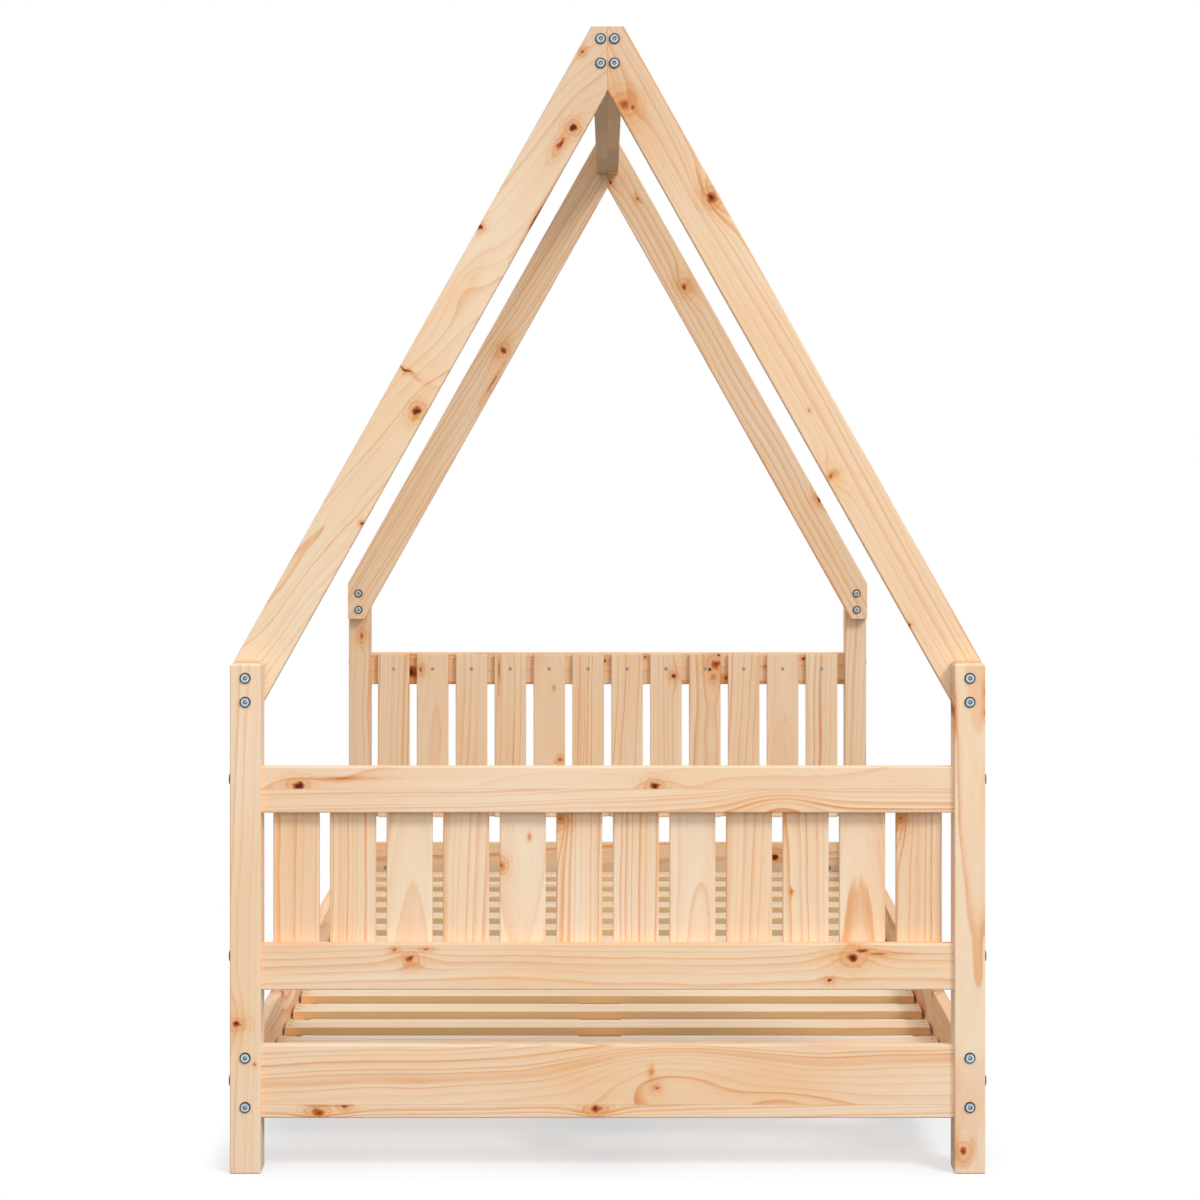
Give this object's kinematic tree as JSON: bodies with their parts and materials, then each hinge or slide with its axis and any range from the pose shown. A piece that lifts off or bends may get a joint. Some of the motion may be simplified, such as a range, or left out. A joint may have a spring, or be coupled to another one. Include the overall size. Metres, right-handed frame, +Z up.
{
  "type": "house frame bed",
  "caption": "Child's bed in pale pine: corner posts carry gable rafters and a ridge beam over picketed end panels, low side rails and a slatted base.",
  "frame": {"origin": "on the floor, in the middle of the bed's outline", "axes": "+Z up, +Y along the bed towards the head end, +X across the bed to the right as seen from the foot"},
  "size_m": [0.9852, 2.0652, 1.494],
  "materials": {
    "pine_frame": "planed, clear matt",
    "pine_base": "planed, untreated",
    "beech_dowel": "fluted, untreated",
    "zinc_steel": "bright zinc plated"
  },
  "bodies": {
    "root": {"barrel_nuts": "zinc_steel", "centre_beam": "pine_base", "centre_beam_seats": "pine_base", "centre_leg": "pine_base", "cleat_and_beam_screws": "zinc_steel", "end_rail_bolts": "zinc_steel", "foot_end_rail": "pine_frame", "foot_left_post": "pine_frame", "foot_left_rafter": "pine_frame", "foot_mid_rail": "pine_frame", "foot_picket_01": "pine_frame", "foot_picket_02": "pine_frame", "foot_picket_03": "pine_frame", "foot_picket_04": "pine_frame", "foot_picket_05": "pine_frame", "foot_picket_06": "pine_frame", "foot_picket_07": "pine_frame", "foot_picket_08": "pine_frame", "foot_picket_09": "pine_frame", "foot_picket_10": "pine_frame", "foot_picket_11": "pine_frame", "foot_picket_12": "pine_frame", "foot_right_post": "pine_frame", "foot_right_rafter": "pine_frame", "foot_top_rail": "pine_frame", "head_end_rail": "pine_frame", "head_left_post": "pine_frame", "head_left_rafter": "pine_frame", "head_mid_rail": "pine_frame", "head_picket_01": "pine_frame", "head_picket_02": "pine_frame", "head_picket_03": "pine_frame", "head_picket_04": "pine_frame", "head_picket_05": "pine_frame", "head_picket_06": "pine_frame", "head_picket_07": "pine_frame", "head_picket_08": "pine_frame", "head_picket_09": "pine_frame", "head_picket_10": "pine_frame", "head_picket_11": "pine_frame", "head_picket_12": "pine_frame", "head_right_post": "pine_frame", "head_right_rafter": "pine_frame", "head_top_rail": "pine_frame", "left_side_rail": "pine_frame", "left_slat_cleat": "pine_base", "picket_screws": "zinc_steel", "rafter_post_bolts": "zinc_steel", "rafter_sleeve_nuts": "zinc_steel", "ridge_beam": "pine_frame", "ridge_bolts": "zinc_steel", "right_side_rail": "pine_frame", "right_slat_cleat": "pine_base", "side_rail_bolts": "zinc_steel", "slat_screws": "zinc_steel", "slats_section_1": "pine_base", "slats_section_2": "pine_base", "slats_section_3": "pine_base", "wooden_dowels": "beech_dowel"}
  },
  "joints": []
}
